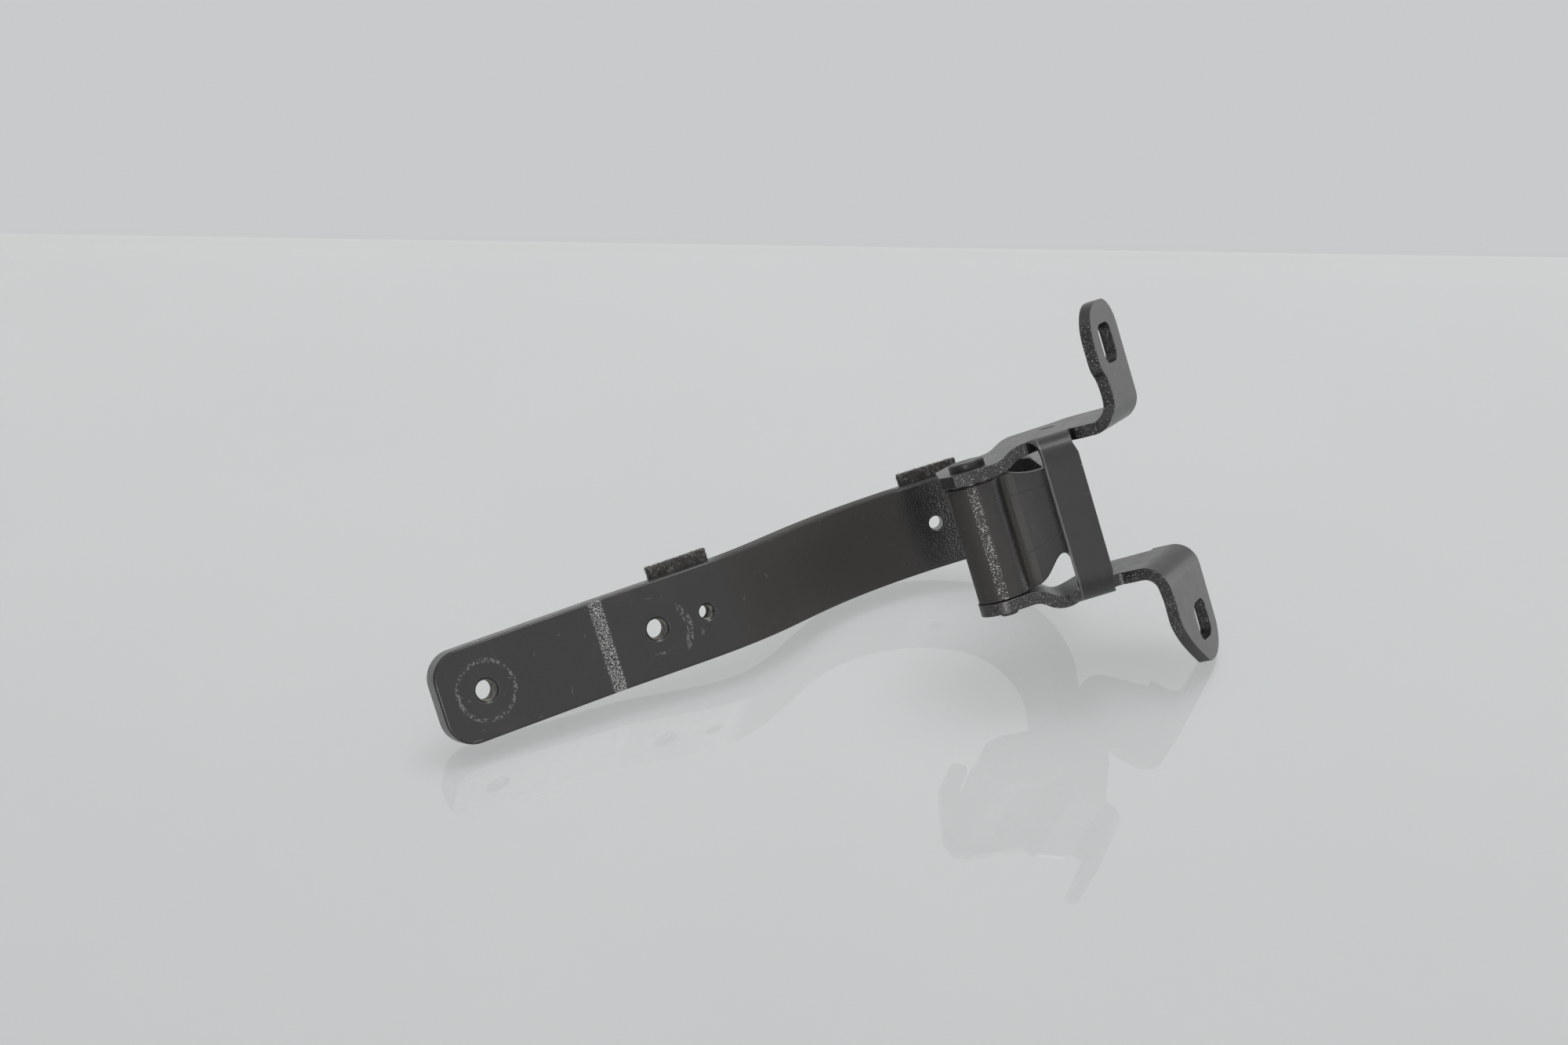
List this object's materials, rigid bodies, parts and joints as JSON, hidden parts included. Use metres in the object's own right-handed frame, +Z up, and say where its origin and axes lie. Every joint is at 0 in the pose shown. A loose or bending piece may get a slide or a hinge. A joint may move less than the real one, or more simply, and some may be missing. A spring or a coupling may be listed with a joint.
{
  "type": "boot lid hinge",
  "caption": "Cranked steel boot lid arm with a rolled eye, pivoting on a riveted pin in a pressed bracket with two slotted mounting flanges.",
  "frame": {"origin": "on the ground plane, below the middle of the hinge as it lies at rest", "axes": "+Z is up from the ground, +X runs to the bracket's side, +Y runs away from the viewer, towards the crank of the arm"},
  "size_m": [0.2528, 0.1006, 0.1152],
  "materials": {
    "arm_paint": "semi-gloss black paint with orange peel",
    "bracket_paint": "satin black paint",
    "pin_paint": "satin black paint, worn at the head's rim",
    "bush_metal": "dull sintered metal",
    "felt": "coarse dark felt"
  },
  "bodies": {
    "bracket": {"bracket": "bracket_paint", "hinge_pin": "pin_paint"},
    "arm": {"arm": "arm_paint", "upper_bush": "bush_metal", "lower_bush": "bush_metal", "outer_pad": "felt", "crank_pad": "felt"}
  },
  "joints": [
    {"name": "arm_pivot", "type": "hinge", "parent": "bracket", "child": "arm", "pos_m": [0.05004, -0.0311, 0.0492], "axis": [-0.2096, 0.4064, 0.8893], "range_deg": [-3, 95]}
  ]
}
